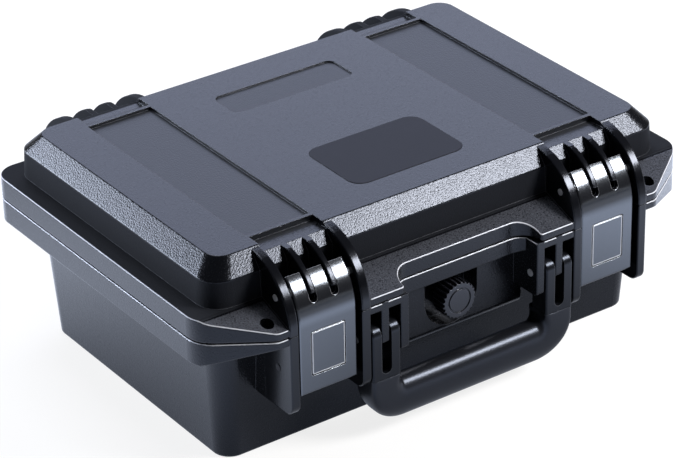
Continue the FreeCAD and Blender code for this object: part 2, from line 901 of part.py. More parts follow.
def valve_nut():
    reach = nut_across_flats / math.sqrt(3)
    corners = []
    for step in range(6):
        turn = math.radians(60 * step)
        corners.append((reach * math.cos(turn), valve_height + reach * math.sin(turn), 0))
    start = -valve_boss_face + washer_thickness
    nut = front_plate(corners, start, start + nut_thickness)
    return nut.cut(rod_y(bush_radius + pin_clearance, -rim_front, 0, 0, valve_height))


def valve_knob():
    back = -pocket_floor - valve_seal_thickness - bush_collar_length - knob_gap
    front = back - knob_thickness
    knob = rod_y(knob_radius, front, back, 0, valve_height)
    knob = softened(knob, knob_edge_radius, lambda edge: edge.BoundBox.YMax < front + pin_clearance)
    flutes = []
    for step in range(knob_lobes):
        turn = math.radians(360 * step / knob_lobes)
        x = knob_radius * math.cos(turn)
        z = valve_height + knob_radius * math.sin(turn)
        flutes.append(rod_y(knob_lobe_radius, front - overrun, back + overrun, x, z))
    knob = knob.cut(flutes)
    outer = knob_ring_radius + knob_ring_width / 2
    inner = knob_ring_radius - knob_ring_width / 2
    knob = knob.cut(ring_y(outer, inner, front, front + knob_ring_depth))
    stem = rod_y(stem_radius, back, back + stem_length, 0, valve_height)
    return solid_of(joined([knob, stem]))


single_pieces = {
    "base_shell": base_shell,
    "lid_shell": lid_shell,
    "lid_seal": lid_seal,
    "label_plate": label_plate,
    "handle_frame": handle_frame,
    "handle_grip": handle_grip,
    "valve_bush": valve_bush,
    "valve_seal": valve_seal,
    "valve_washer": valve_washer,
    "valve_nut": valve_nut,
    "valve_knob": valve_knob,
}
paired_pieces = {
    "hinge_pin": hinge_pin,
    "latch_lever": latch_lever,
    "latch_back_cover": latch_back_cover,
    "latch_button": latch_button,
    "latch_spring": latch_spring,
    "latch_pin": latch_pin,
    "catch_pin": catch_pin,
    "handle_pin": handle_pin,
}

os.makedirs("parts", exist_ok=True)
for name, make in single_pieces.items():
    make().exportStep("parts/" + name + ".step")
for name, make in paired_pieces.items():
    right = make()
    right.exportStep("parts/" + name + "_right.step")
    mirrored(right).exportStep("parts/" + name + "_left.step")
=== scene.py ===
import math

import bpy
import numpy as np
from mathutils import Matrix, Vector


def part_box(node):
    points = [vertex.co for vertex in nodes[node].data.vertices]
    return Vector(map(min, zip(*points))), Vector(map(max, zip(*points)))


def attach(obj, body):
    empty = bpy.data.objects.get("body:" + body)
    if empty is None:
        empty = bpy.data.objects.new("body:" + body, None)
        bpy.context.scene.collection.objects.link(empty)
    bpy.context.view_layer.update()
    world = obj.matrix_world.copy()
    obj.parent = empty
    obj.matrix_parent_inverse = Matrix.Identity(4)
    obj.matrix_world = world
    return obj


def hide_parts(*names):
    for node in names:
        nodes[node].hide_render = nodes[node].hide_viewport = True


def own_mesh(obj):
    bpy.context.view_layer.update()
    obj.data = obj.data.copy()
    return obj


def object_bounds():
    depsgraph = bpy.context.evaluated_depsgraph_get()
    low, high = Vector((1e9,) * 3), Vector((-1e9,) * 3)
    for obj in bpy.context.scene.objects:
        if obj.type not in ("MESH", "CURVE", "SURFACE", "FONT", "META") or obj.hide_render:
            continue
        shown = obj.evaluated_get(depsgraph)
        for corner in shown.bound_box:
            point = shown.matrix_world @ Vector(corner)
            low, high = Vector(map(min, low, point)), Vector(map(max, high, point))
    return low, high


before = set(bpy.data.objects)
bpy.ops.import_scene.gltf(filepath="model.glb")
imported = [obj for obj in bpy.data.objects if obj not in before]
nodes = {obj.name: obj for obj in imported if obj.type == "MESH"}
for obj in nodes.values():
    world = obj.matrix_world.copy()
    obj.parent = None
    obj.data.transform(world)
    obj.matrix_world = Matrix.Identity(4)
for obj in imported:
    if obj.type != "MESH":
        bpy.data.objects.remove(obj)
cadLow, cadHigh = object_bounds()

scene = bpy.context.scene
scene.view_settings.view_transform = "Standard"

mm = 0.001   # the frame is in metres, sizes below are easier to read in millimetres


# camera, at the photograph's viewing angle

cameraSetup = {
    "azimuth": -34.82, "elevation": 29.08, "roll": -1.23,                # degrees
    "target": (-4.82, -6.55, 56.68), "distance": 1606.7,                 # mm
    "lens": 162.77, "sensor": 36.0,                                      # mm
    "clip": (0.05, 50.0),                                                # metres
}


def addCamera(setup):
    az, el, roll = (math.radians(setup[k]) for k in ("azimuth", "elevation", "roll"))
    back = Vector((math.sin(az) * math.cos(el), -math.cos(az) * math.cos(el), math.sin(el)))
    right = Vector((math.cos(az), math.sin(az), 0))
    up = back.cross(right)
    rolledRight = right * math.cos(roll) + up * math.sin(roll)
    rolledUp = up * math.cos(roll) - right * math.sin(roll)
    place = (Vector(setup["target"]) + back * setup["distance"]) * mm
    data = bpy.data.cameras.new("photoCamera")
    data.lens = setup["lens"]
    data.sensor_width = setup["sensor"]
    data.clip_start, data.clip_end = setup["clip"]
    cam = bpy.data.objects.new("photoCamera", data)
    scene.collection.objects.link(cam)
    turn = Matrix((rolledRight, rolledUp, back)).transposed().to_4x4()
    cam.matrix_world = Matrix.Translation(place) @ turn
    scene.camera = cam


addCamera(cameraSetup)
print("camera placed")


# node helpers

def put(tree, kind, **settings):
    # adds a node: names with a capital are input sockets, the others are the node's own settings
    node = tree.nodes.new(kind)
    for name, value in settings.items():
        if name[0].isupper():
            node.inputs[name.replace("_", " ")].default_value = value
        else:
            setattr(node, name, value)
    return node


def wire(tree, source, target):
    tree.links.new(source, target)


def feed(tree, target, value):
    # a socket is wired, a plain value is set on the input itself
    if isinstance(value, bpy.types.NodeSocket):
        wire(tree, value, target)
    else:
        target.default_value = value


def opaque(colour):
    return (*colour, 1)


def blend(tree, kind, factor, first, second):
    mix = put(tree, "ShaderNodeMix", data_type=kind)
    for name, value in (("Factor", factor), ("A", first), ("B", second)):
        feed(tree, mix.inputs[name], value)
    return mix.outputs["Result"]


def remap(tree, value, old, new=(0.0, 1.0), clamp=True):
    ramp = put(tree, "ShaderNodeMapRange", clamp=clamp, From_Min=old[0], From_Max=old[1],
               To_Min=new[0], To_Max=new[1])
    wire(tree, value, ramp.inputs["Value"])
    return ramp.outputs["Result"]


def join(tree, operation, *values, clamp=False):
    # the operation, taken from one value to the next
    result = values[0]
    for other in values[1:]:
        node = put(tree, "ShaderNodeMath", operation=operation, use_clamp=clamp)
        feed(tree, node.inputs[0], result)
        feed(tree, node.inputs[1], other)
        result = node.outputs[0]
    return result


def past(tree, value, limit, way, fade):
    # 1 on the far side of a limit in mm, going up (way 1) or down (way -1)
    return remap(tree, value, (limit * mm, (limit + way * fade) * mm))


def newGroup(name, inputs, outputs):
    # inputs have a name and a start value, outputs a name and a socket type
    group = bpy.data.node_groups.new(name, "ShaderNodeTree")
    for label, value in inputs.items():
        socket = group.interface.new_socket(label, in_out="INPUT", socket_type="NodeSocketFloat")
        socket.default_value = value
    for label, kind in outputs.items():
        group.interface.new_socket(label, in_out="OUTPUT", socket_type=kind)
    return group, put(group, "NodeGroupInput"), put(group, "NodeGroupOutput")


# mould grain: fine spark-eroded texture, and a slow mottle of the moulding

mouldGrain = {   # scales per metre, detail and roughness of the noise
    "grainScale": 1500.0, "grain": (1.0, 0.5), "mottleScale": 28.0, "mottle": (3.0, 0.55),
}


def buildGrain(noise):
    group, source, result = newGroup(
        "mouldGrain", {"Grain Scale": noise["grainScale"], "Mottle Scale": noise["mottleScale"]},
        {"Height": "NodeSocketFloat", "Mottle": "NodeSocketFloat"})
    place = put(group, "ShaderNodeTexCoord")
    for key, scale, target in (("grain", "Grain Scale", "Height"), ("mottle", "Mottle Scale", "Mottle")):
        detail, roughness = noise[key]
        cloud = put(group, "ShaderNodeTexNoise", Detail=detail, Roughness=roughness)
        wire(group, place.outputs["Object"], cloud.inputs["Vector"])
        wire(group, source.outputs[scale], cloud.inputs["Scale"])
        wire(group, cloud.outputs["Fac"], result.inputs[target])
    return group


# edges, paler partly as wear and partly as a painted highlight: where the rounded normal leaves the true
# one there is an edge, broken up by noise

edgeWearAndHighlight = {   # radius in mm; agree is the cosine between both normals, on the flat and on a full edge
    "radius": 0.7, "samples": 6, "agree": (0.985, 0.86),
    "noiseScale": 160.0, "noise": (3.0, 0.6), "patchFrom": (0.35, 0.7), "patchTo": (0.5, 1.0),
}


def buildEdges(worn):
    group, source, result = newGroup(
        "edgeWearAndHighlightMask", {"Radius": worn["radius"] * mm, "Noise Scale": worn["noiseScale"]},
        {"Mask": "NodeSocketFloat", "Soft Normal": "NodeSocketVector"})
    place = put(group, "ShaderNodeTexCoord")
    geometry = put(group, "ShaderNodeNewGeometry")
    rounded = put(group, "ShaderNodeBevel", samples=worn["samples"])
    agree = put(group, "ShaderNodeVectorMath", operation="DOT_PRODUCT")
    detail, roughness = worn["noise"]
    noise = put(group, "ShaderNodeTexNoise", Detail=detail, Roughness=roughness)
    wire(group, source.outputs["Radius"], rounded.inputs["Radius"])
    wire(group, rounded.outputs["Normal"], agree.inputs[0])
    wire(group, geometry.outputs["Normal"], agree.inputs[1])
    wire(group, place.outputs["Object"], noise.inputs["Vector"])
    wire(group, source.outputs["Noise Scale"], noise.inputs["Scale"])
    edge = remap(group, agree.outputs["Value"], worn["agree"])
    patches = remap(group, noise.outputs["Fac"], worn["patchFrom"], worn["patchTo"])
    wire(group, join(group, "MULTIPLY", edge, patches), result.inputs["Mask"])
    wire(group, rounded.outputs["Normal"], result.inputs["Soft Normal"])
    return group


# zones of the mould: a satin band round the wall and rim of the lid and on the hinge lugs, polished ribs
# beside the latches, coarser tops on the front tabs with a painted sheen, a painted highlight line along
# the rim edges, duller sunk panels

mouldZones = {   # mm, x counted to both sides; slopes are upward parts of the normal
    "bandLow": 93.0, "bandHigh": 107.6,
    "ribInner": 62.5, "ribOuter": 112.0, "ribFront": -93.0, "hingeBack": 84.0,
    "tabLow": 83.0, "flat": (0.84, 0.9),
    "edgeTop": 94.0, "edgeSide": 141.0, "edgeFront": -95.0,
    "slopeLow": (0.2, 0.4), "slopeHigh": (0.86, 0.72),
    "panelLow": 113.5, "panelHigh": 116.5, "panelSide": 120.0, "panelFront": -80.0, "panelBack": 80.0,
    "fade": 0.4,
}


def buildZones(zone):
    names = ("Satin", "Polish", "Coarse", "Line", "Panel")
    group, _, result = newGroup("mouldZones", {}, dict.fromkeys(names, "NodeSocketFloat"))
    place = put(group, "ShaderNodeTexCoord")
    split = put(group, "ShaderNodeSeparateXYZ")
    geometry = put(group, "ShaderNodeNewGeometry")
    turned = put(group, "ShaderNodeVectorTransform", vector_type="NORMAL", convert_from="WORLD",
                 convert_to="OBJECT")
    facing = put(group, "ShaderNodeSeparateXYZ")
    across = put(group, "ShaderNodeMath", operation="ABSOLUTE")
    wire(group, place.outputs["Object"], split.inputs["Vector"])
    wire(group, geometry.outputs["Normal"], turned.inputs["Vector"])
    wire(group, turned.outputs["Vector"], facing.inputs["Vector"])
    wire(group, split.outputs["X"], across.inputs[0])
    x, y, z = across.outputs[0], split.outputs["Y"], split.outputs["Z"]

    def every(*masks):
        return join(group, "MULTIPLY", *masks)

    def above(value, key):
        return past(group, value, zone[key], 1, zone["fade"])

    def below(value, key):
        return past(group, value, zone[key], -1, zone["fade"])

    def slope(key):
        return remap(group, facing.outputs["Z"], zone[key])

    ribs = every(above(x, "ribInner"), below(x, "ribOuter"))
    polish = every(ribs, below(y, "ribFront"))
    hinges = every(ribs, above(y, "hingeBack"))
    band = every(above(z, "bandLow"), below(z, "bandHigh"))
    beside = join(group, "SUBTRACT", below(y, "edgeFront"), polish, clamp=True)
    outside = join(group, "MAXIMUM", above(x, "edgeSide"), beside)
    lower = below(z, "edgeTop")
    masks = {
        "Satin": join(group, "MAXIMUM", band, hinges),
        "Polish": polish,
        "Coarse": every(above(z, "tabLow"), lower, slope("flat"), beside),
        "Line": every(lower, slope("slopeLow"), slope("slopeHigh"), outside),
        "Panel": every(above(z, "panelLow"), below(z, "panelHigh"), above(y, "panelFront"),
                       below(y, "panelBack"), below(x, "panelSide")),
    }
    for name, mask in masks.items():
        wire(group, mask, result.inputs[name])
    return group


# button frame: a painted highlight, a paler border round the front of each press button

buttonHighlightFrame = {"centre": 87.25, "half": 9.0, "low": 55.2, "high": 77.4, "fade": 0.2}   # mm


def buildHighlightFrame(border):
    group, _, result = newGroup("buttonHighlightFrame", {}, {"Frame": "NodeSocketFloat"})
    place = put(group, "ShaderNodeTexCoord")
    split = put(group, "ShaderNodeSeparateXYZ")
    across = put(group, "ShaderNodeMath", operation="ABSOLUTE")
    aside = put(group, "ShaderNodeMath", operation="ABSOLUTE")
    wire(group, place.outputs["Object"], split.inputs["Vector"])
    wire(group, split.outputs["X"], across.inputs[0])
    wire(group, join(group, "SUBTRACT", across.outputs[0], border["centre"] * mm), aside.inputs[0])
    z, fade = split.outputs["Z"], border["fade"]
    sides = past(group, aside.outputs[0], border["half"], 1, fade)
    ends = past(group, z, border["high"], 1, fade), past(group, z, border["low"], -1, fade)
    wire(group, join(group, "MAXIMUM", sides, *ends), result.inputs["Frame"])
    return group


grainGroup = buildGrain(mouldGrain)
edgeGroup = buildEdges(edgeWearAndHighlight)
zoneGroup = buildZones(mouldZones)
highlightFrameGroup = buildHighlightFrame(buttonHighlightFrame)
print("shared effects:", grainGroup.name, edgeGroup.name, zoneGroup.name, highlightFrameGroup.name)


# moulded plastics and rubbers, one dictionary each

shellPlastic = {
    "name": "shellPlastic",
    "dark": (0.002, 0.0022, 0.0032), "light": (0.004, 0.0044, 0.006), "edgeWearHighlight": (0.10, 0.105, 0.12),
    "rough": (0.13, 0.29), "rubRough": 0.14, "tint": (0.22, 0.24, 0.285), "specular": 0.85, "ior": 1.5,
    "sheen": 0.0, "grainScale": 1400.0, "mottleScale": 26.0, "bump": 1.0, "bumpDepth": 0.11, "edge": 0.45,
    "satinRough": 0.85, "polishRough": 0.17, "polishGrain": 0.2, "tabGrain": 2.0, "panelRough": 0.33,
    "tabSheenColour": (0.045, 0.048, 0.058), "speckleFrom": (0.35, 0.65), "speckleTo": (0.4, 1.6),
    "highlightLineColour": (0.6, 0.62, 0.68),
}
latchPlastic = {
    "name": "latchPlastic",
    "dark": (0.004, 0.004, 0.0055), "light": (0.007, 0.0073, 0.009), "edgeWearHighlight": (0.36, 0.37, 0.40),
    "rough": (0.14, 0.16), "rubRough": 0.13, "tint": (0.8, 0.88, 1.0), "specular": 0.9, "ior": 1.62,
    "sheen": 0.0, "grainScale": 700.0, "mottleScale": 40.0, "bump": 0.1, "bumpDepth": 0.03, "edge": 0.6,
}
buttonPlastic = {**latchPlastic, "name": "buttonPlastic", "frameHighlightColour": (0.5, 0.52, 0.56)}
handlePlastic = {
    "name": "handlePlastic",
    "dark": (0.004, 0.0043, 0.0055), "light": (0.007, 0.0076, 0.0095), "edgeWearHighlight": (0.08, 0.085, 0.095),
    "rough": (0.22, 0.26), "rubRough": 0.16, "tint": (0.2, 0.23, 0.29), "specular": 0.7, "ior": 1.5,
    "sheen": 0.02, "grainScale": 1700.0, "mottleScale": 34.0, "bump": 0.5, "bumpDepth": 0.05, "edge": 0.5,
}
gripRubber = {
    "name": "gripRubber",
    "dark": (0.005, 0.0053, 0.007), "light": (0.009, 0.0095, 0.012), "edgeWearHighlight": (0.02, 0.021, 0.025),
    "rough": (0.28, 0.33), "rubRough": 0.3, "tint": (0.29, 0.325, 0.4), "specular": 0.85, "ior": 1.5,
    "sheen": 0.02, "grainScale": 2100.0, "mottleScale": 36.0, "bump": 0.4, "bumpDepth": 0.04, "edge": 0.5,
}
valvePlastic = {
    "name": "valvePlastic",
    "dark": (0.005, 0.005, 0.007), "light": (0.009, 0.0095, 0.013), "edgeWearHighlight": (0.08, 0.084, 0.1),
    "rough": (0.2, 0.25), "rubRough": 0.16, "tint": (0.6, 0.64, 0.74), "specular": 0.85, "ior": 1.5,
    "sheen": 0.02, "grainScale": 1900.0, "mottleScale": 60.0, "bump": 0.3, "bumpDepth": 0.03, "edge": 0.4,
}
sealRubber = {
    "name": "sealRubber",
    "dark": (0.010, 0.010, 0.011), "light": (0.018, 0.018, 0.019), "edgeWearHighlight": (0.03, 0.03, 0.032),
    "rough": (0.55, 0.7), "rubRough": 0.55, "tint": (1.0, 1.0, 1.0), "specular": 0.4, "ior": 1.5,
    "sheen": 0.05, "grainScale": 2400.0, "mottleScale": 45.0, "bump": 0.5, "bumpDepth": 0.04, "edge": 0.3,
}
labelFilm = {
    "name": "labelFilm",
    "dark": (0.008, 0.008, 0.011), "light": (0.011, 0.011, 0.015), "edgeWearHighlight": (0.04, 0.042, 0.05),
    "rough": (0.40, 0.48), "rubRough": 0.4, "tint": (0.82, 0.86, 1.0), "specular": 0.1, "ior": 1.5,
    "sheen": 0.03, "grainScale": 2600.0, "mottleScale": 18.0, "bump": 0.3, "bumpDepth": 0.03, "edge": 0.3,
}
# shared by all of them: the grain heights between which roughness runs, and the sheen
plasticSkin = {"grainSpan": (0.3, 0.7), "sheenRough": 0.4, "sheenTint": (0.5, 0.68, 1.0)}


def zoneFinish(tree, colour, roughness, height, look):
    # satin band and panels are rougher, polished ribs carry little grain and tabs more of it
    # tabs are painted paler as a sheen and rim lines as a highlight
    zones = put(tree, "ShaderNodeGroup", node_tree=zoneGroup).outputs
    for name, key in (("Satin", "satinRough"), ("Panel", "panelRough"), ("Polish", "polishRough")):
        roughness = blend(tree, "FLOAT", zones[name], roughness, look[key])
    # painted sheen on the tab tops, speckled by the grain
    speckle = remap(tree, height, look["speckleFrom"], look["speckleTo"], clamp=False)
    tabSheen = join(tree, "MULTIPLY", zones["Coarse"], speckle, clamp=True)
    colour = blend(tree, "RGBA", tabSheen, colour, opaque(look["tabSheenColour"]))
    # painted highlight: a pale line along the rim edge fillets
    colour = blend(tree, "RGBA", zones["Line"], colour, opaque(look["highlightLineColour"]))
    plain = remap(tree, zones["Polish"], (0.0, 1.0), (1.0, look["polishGrain"]))
    coarse = remap(tree, zones["Coarse"], (0.0, 1.0), (1.0, look["tabGrain"]))
    return colour, roughness, join(tree, "MULTIPLY", height, plain, coarse)


def plasticMaterial(look):
    # grain lifts and roughens the surface, mottle shades it, edges are smoother and paler, partly as wear
    # and partly as a painted highlight
    material = bpy.data.materials.new(look["name"])
    material.use_nodes = True
    tree = material.node_tree
    tree.nodes.clear()
    output = put(tree, "ShaderNodeOutputMaterial")
    shader = put(tree, "ShaderNodeBsdfPrincipled", IOR=look["ior"], Specular_IOR_Level=look["specular"],
                 Specular_Tint=opaque(look["tint"]), Sheen_Weight=look["sheen"],
                 Sheen_Roughness=plasticSkin["sheenRough"], Sheen_Tint=opaque(plasticSkin["sheenTint"]))
    grain = put(tree, "ShaderNodeGroup", node_tree=grainGroup,
                Grain_Scale=look["grainScale"], Mottle_Scale=look["mottleScale"]).outputs
    edges = put(tree, "ShaderNodeGroup", node_tree=edgeGroup, Radius=look["edge"] * mm).outputs
    height = grain["Height"]
    body = blend(tree, "RGBA", grain["Mottle"], opaque(look["dark"]), opaque(look["light"]))
    # edges painted paler: partly wear, partly a painted highlight along them
    colour = blend(tree, "RGBA", edges["Mask"], body, opaque(look["edgeWearHighlight"]))
    rough = remap(tree, height, plasticSkin["grainSpan"], look["rough"])
    roughness = blend(tree, "FLOAT", edges["Mask"], rough, look["rubRough"])
    if "satinRough" in look:
        colour, roughness, height = zoneFinish(tree, colour, roughness, height, look)
    if "frameHighlightColour" in look:
        # painted highlight round the front of the button
        border = put(tree, "ShaderNodeGroup", node_tree=highlightFrameGroup).outputs["Frame"]
        colour = blend(tree, "RGBA", border, colour, opaque(look["frameHighlightColour"]))
    bump = put(tree, "ShaderNodeBump", Strength=look["bump"], Distance=look["bumpDepth"] * mm)
    wire(tree, height, bump.inputs["Height"])
    wire(tree, edges["Soft Normal"], bump.inputs["Normal"])
    wire(tree, colour, shader.inputs["Base Color"])
    wire(tree, roughness, shader.inputs["Roughness"])
    wire(tree, bump.outputs["Normal"], shader.inputs["Normal"])
    wire(tree, shader.outputs["BSDF"], output.inputs["Surface"])
    return material


# steels of pins and springs: drawn along x or z, so the noise is stretched that way

pinSteel = {
    "name": "pinSteel", "dark": (0.7, 0.7, 0.71), "light": (0.9, 0.9, 0.91), "rough": (0.45, 0.6),
    "stretch": (60.0, 2600.0, 2600.0), "bump": 0.12, "bumpDepth": 0.02,
}
blackSteel = {
    "name": "blackSteel", "dark": (0.02, 0.02, 0.022), "light": (0.05, 0.05, 0.054), "rough": (0.3, 0.45),
    "stretch": (60.0, 2600.0, 2600.0), "bump": 0.12, "bumpDepth": 0.02,
}
springSteel = {
    "name": "springSteel", "dark": (0.24, 0.25, 0.29), "light": (0.44, 0.45, 0.49), "rough": (0.24, 0.4),
    "stretch": (1800.0, 1800.0, 80.0), "bump": 0.1, "bumpDepth": 0.02,
}


def steelMaterial(look):
    material = bpy.data.materials.new(look["name"])
    material.use_nodes = True
    tree = material.node_tree
    tree.nodes.clear()
    output = put(tree, "ShaderNodeOutputMaterial")
    shader = put(tree, "ShaderNodeBsdfPrincipled", Metallic=1.0)
    place = put(tree, "ShaderNodeTexCoord")
    spread = put(tree, "ShaderNodeMapping", Scale=look["stretch"])
    lines = put(tree, "ShaderNodeTexNoise", Scale=1.0, Detail=2.0)
    bump = put(tree, "ShaderNodeBump", Strength=look["bump"], Distance=look["bumpDepth"] * mm)
    wire(tree, place.outputs["Object"], spread.inputs["Vector"])
    wire(tree, spread.outputs["Vector"], lines.inputs["Vector"])
    drawn = lines.outputs["Fac"]
    wire(tree, drawn, bump.inputs["Height"])
    colour = blend(tree, "RGBA", drawn, opaque(look["dark"]), opaque(look["light"]))
    wire(tree, colour, shader.inputs["Base Color"])
    wire(tree, remap(tree, drawn, (0.0, 1.0), look["rough"]), shader.inputs["Roughness"])
    wire(tree, bump.outputs["Normal"], shader.inputs["Normal"])
    wire(tree, shader.outputs["BSDF"], output.inputs["Surface"])
    return material


# which finish each CAD node wears, by its name without the side
finishes = {
    "base_shell": plasticMaterial(shellPlastic),
    "latch_lever": plasticMaterial(latchPlastic),
    "latch_button": plasticMaterial(buttonPlastic),
    "handle_frame": plasticMaterial(handlePlastic),
    "handle_grip": plasticMaterial(gripRubber),
    "valve_knob": plasticMaterial(valvePlastic),
    "lid_seal": plasticMaterial(sealRubber),
    "label_plate": plasticMaterial(labelFilm),
    "hinge_pin": steelMaterial(pinSteel),
    "catch_pin": steelMaterial(blackSteel),
    "latch_spring": steelMaterial(springSteel),
}
finishes["lid_shell"] = finishes["base_shell"]
finishes["latch_back_cover"] = finishes["latch_lever"]
finishes["valve_bush"] = finishes["valve_nut"] = finishes["valve_knob"]
finishes["valve_seal"] = finishes["lid_seal"]
finishes["latch_pin"] = finishes["handle_pin"] = finishes["hinge_pin"]
finishes["valve_washer"] = finishes["hinge_pin"]


def finishOf(nodeName):
    plain = nodeName.removesuffix("_left").removesuffix("_right")
    return finishes[plain]


for nodeName, piece in nodes.items():
    piece.data.materials.clear()
    piece.data.materials.append(finishOf(nodeName))
print("finishes on", len(nodes), "nodes")


# soft pieces: grids of points (along, around, xyz) closed into skins

sharpAngle = 55   # degrees


def skinPiece(name, grid, closed):
    # closed joins the last row to the first, otherwise both ends get a flat cap
    rows, columns = grid.shape[:2]
    row, column = np.meshgrid(np.arange(rows if closed else rows - 1), np.arange(columns), indexing="ij")
    nextRow = (row + 1) % rows
    nextColumn = (column + 1) % columns
    corners = (row * columns + column, nextRow * columns + column,
               nextRow * columns + nextColumn, row * columns + nextColumn)
    faces = np.stack(corners, -1).reshape(-1, 4).tolist()
    if not closed:
        ring = np.arange(columns)
        faces += [ring.tolist(), ((rows - 1) * columns + ring[::-1]).tolist()]
    mesh = bpy.data.meshes.new(name)
    mesh.from_pydata(grid.reshape(-1, 3).tolist(), [], faces)
    mesh.shade_smooth()
    mesh.set_sharp_from_angle(angle=math.radians(sharpAngle))
    piece = bpy.data.objects.new(name, mesh)
    scene.collection.objects.link(piece)
    return piece


def standFor(piece, node, body):
    piece.data.materials.append(finishOf(node))
    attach(piece, body)
    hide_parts(node)


# lid seal: a bulb profile carried round the rim

lidSeal = {"width": 3.6, "corner": 14.0, "cornerSteps": 16, "aroundSteps": 28, "squareness": 3.2}


def makeLidSeal(look):
    # corner centres pushed out by radius plus bulb, at angles that run once round the rim
    # the bulb is a half circle below and a squarer half, |cos| to the power 2/squareness, in the groove
    low, high = (np.array(corner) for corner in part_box("lid_seal"))
    half = look["width"] / 2 * mm
    radius = look["corner"] * mm
    middle = (low + high) / 2
    reach = (high - low)[:2] / 2 - half - radius
    turn = np.linspace(0, np.pi / 2, look["cornerSteps"]) + np.arange(4)[:, None] * np.pi / 2
    side = np.array([(1, 1), (-1, 1), (-1, -1), (1, -1)])
    centres = np.repeat(side[:, None, :] * reach, look["cornerSteps"], axis=1).reshape(-1, 2) + middle[:2]
    outward = np.stack((np.cos(turn), np.sin(turn)), -1).reshape(-1, 2)
    around = np.linspace(0, 2 * np.pi, look["aroundSteps"], endpoint=False)
    power = np.where(np.sin(around) > 0, 2 / look["squareness"], 1.0)
    across = np.sign(np.cos(around)) * np.abs(np.cos(around)) ** power * half
    height = np.sign(np.sin(around)) * np.abs(np.sin(around)) ** power * (high[2] - low[2]) / 2 + middle[2]
    flat = centres[:, None, :] + outward[:, None, :] * (radius + across)[None, :, None]
    rise = np.broadcast_to(height[None, :, None], flat.shape[:2] + (1,))
    return skinPiece("lidSealBulb", np.concatenate((flat, rise), -1), closed=True)


standFor(makeLidSeal(lidSeal), "lid_seal", "lid")


# valve seal: a rounded washer spun about the stem

valveSeal = {"inner": 6.05, "turnSteps": 64, "aroundSteps": 20, "squareness": 4.0}


def makeValveSeal(look):
    # a superellipse of the ring's width and thickness, carried round a circle
    low, high = (np.array(corner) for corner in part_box("valve_seal"))
    middle = (low + high) / 2
    outer = (high[0] - low[0]) / 2
    inner = look["inner"] * mm
    turn = np.linspace(0, 2 * np.pi, look["turnSteps"], endpoint=False)
    around = np.linspace(0, 2 * np.pi, look["aroundSteps"], endpoint=False)
    power = 2 / look["squareness"]
    spread = np.sign(np.cos(around)) * np.abs(np.cos(around)) ** power * (outer - inner) / 2
    radius = (outer + inner) / 2 + spread
    depth = -np.sign(np.sin(around)) * np.abs(np.sin(around)) ** power * (high[1] - low[1]) / 2
    x = middle[0] + np.cos(turn)[:, None] * radius
    z = middle[2] + np.sin(turn)[:, None] * radius
    y = np.broadcast_to(middle[1] + depth, x.shape)
    return skinPiece("valveSealRing", np.stack((x, y, z), -1), closed=True)


standFor(makeValveSeal(valveSeal), "valve_seal", "base")


# handle grip: a rounded section carried down one arm, along the bar and up the other arm

gripPad = {
    "armWidth": 17.1, "barHeight": 22.5, "innerCorner": 4.0, "outerCorner": 21.0,   # mm
    "seamSquareness": 9.0, "barSquareness": 2.3, "cornerSteps": 20, "aroundSteps": 48,
}


def makeGrip(look):
    # every row runs from the inner outline to the outer one, both turning by the same angle
    # a row's section is a superellipse, almost square at the seam and almost an ellipse on the bar
    low, high = (np.array(corner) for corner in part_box("handle_grip"))
    outerX, seam, bottom = high[0], high[2], low[2]
    innerX = outerX - look["armWidth"] * mm
    top = bottom + look["barHeight"] * mm
    turn = np.linspace(0, np.pi / 2, look["cornerSteps"])
    swing = np.stack((-np.cos(turn), -np.sin(turn)), -1)

    def outline(x, z, radius):
        corner = np.array((radius - x, z + radius)) + swing * radius
        return np.concatenate(([(-x, seam)], corner))

    inner = outline(innerX, top, look["innerCorner"] * mm)
    outer = outline(outerX, bottom, look["outerCorner"] * mm)
    ease = np.concatenate(([0], np.sin(turn)))
    power = 2 / (look["seamSquareness"] * (look["barSquareness"] / look["seamSquareness"]) ** ease)
    flip = np.array((-1, 1))
    inner, outer = (np.concatenate((half, half[::-1] * flip)) for half in (inner, outer))
    power = np.concatenate((power, power[::-1]))[:, None]

    around = np.linspace(0, 2 * np.pi, look["aroundSteps"], endpoint=False)
    span = outer - inner
    halfWidth = np.linalg.norm(span, axis=1) / 2
    halfDepth = (high[1] - low[1]) / 2
    across = halfWidth[:, None] * np.sign(np.cos(around)) * np.abs(np.cos(around)) ** power
    depth = -halfDepth * np.sign(np.sin(around)) * np.abs(np.sin(around)) ** power
    direction = span / (2 * halfWidth)[:, None]
    flat = ((inner + outer) / 2)[:, None, :] + direction[:, None, :] * across[:, :, None]
    y = (low[1] + high[1]) / 2 + depth
    return skinPiece("gripPad", np.stack((flat[:, :, 0], y, flat[:, :, 1]), -1), closed=False)


standFor(makeGrip(gripPad), "handle_grip", "handle")


# latch springs: bowed strips

bowSpring = {"strip": 0.3, "alongSteps": 25, "pressedShare": 0.25}   # mm thick


def makeSpring(name, node, look):
    # both faces follow circles through the strip's height s: y = centre - root(radius squared - s squared)
    low, high = (np.array(corner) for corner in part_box(node))
    strip = look["strip"] * mm
    half = (high[2] - low[2]) / 2
    rise = high[1] - low[1] - strip
    radius = (half ** 2 + rise ** 2) / (2 * rise)
    centre = low[1] + strip + radius
    s = np.linspace(-half, half, look["alongSteps"])
    outer = centre - np.sqrt((radius + strip) ** 2 - s ** 2)
    inner = centre - np.sqrt(radius ** 2 - s ** 2)
    y = np.stack((outer, inner, inner, outer), -1)
    x = np.broadcast_to(np.array((low[0], low[0], high[0], high[0])), y.shape)
    z = np.broadcast_to((s + low[2] + half)[:, None], y.shape)
    return skinPiece(name, np.stack((x, y, z), -1), closed=False)


for side in ("left", "right"):
    node = "latch_spring_" + side
    spring = makeSpring(side + "BowSpring", node, bowSpring)
    standFor(spring, node, "latch_" + side)
    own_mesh(spring)
print("soft pieces: lid seal, valve seal, grip, two springs")


# floor, background and lamps

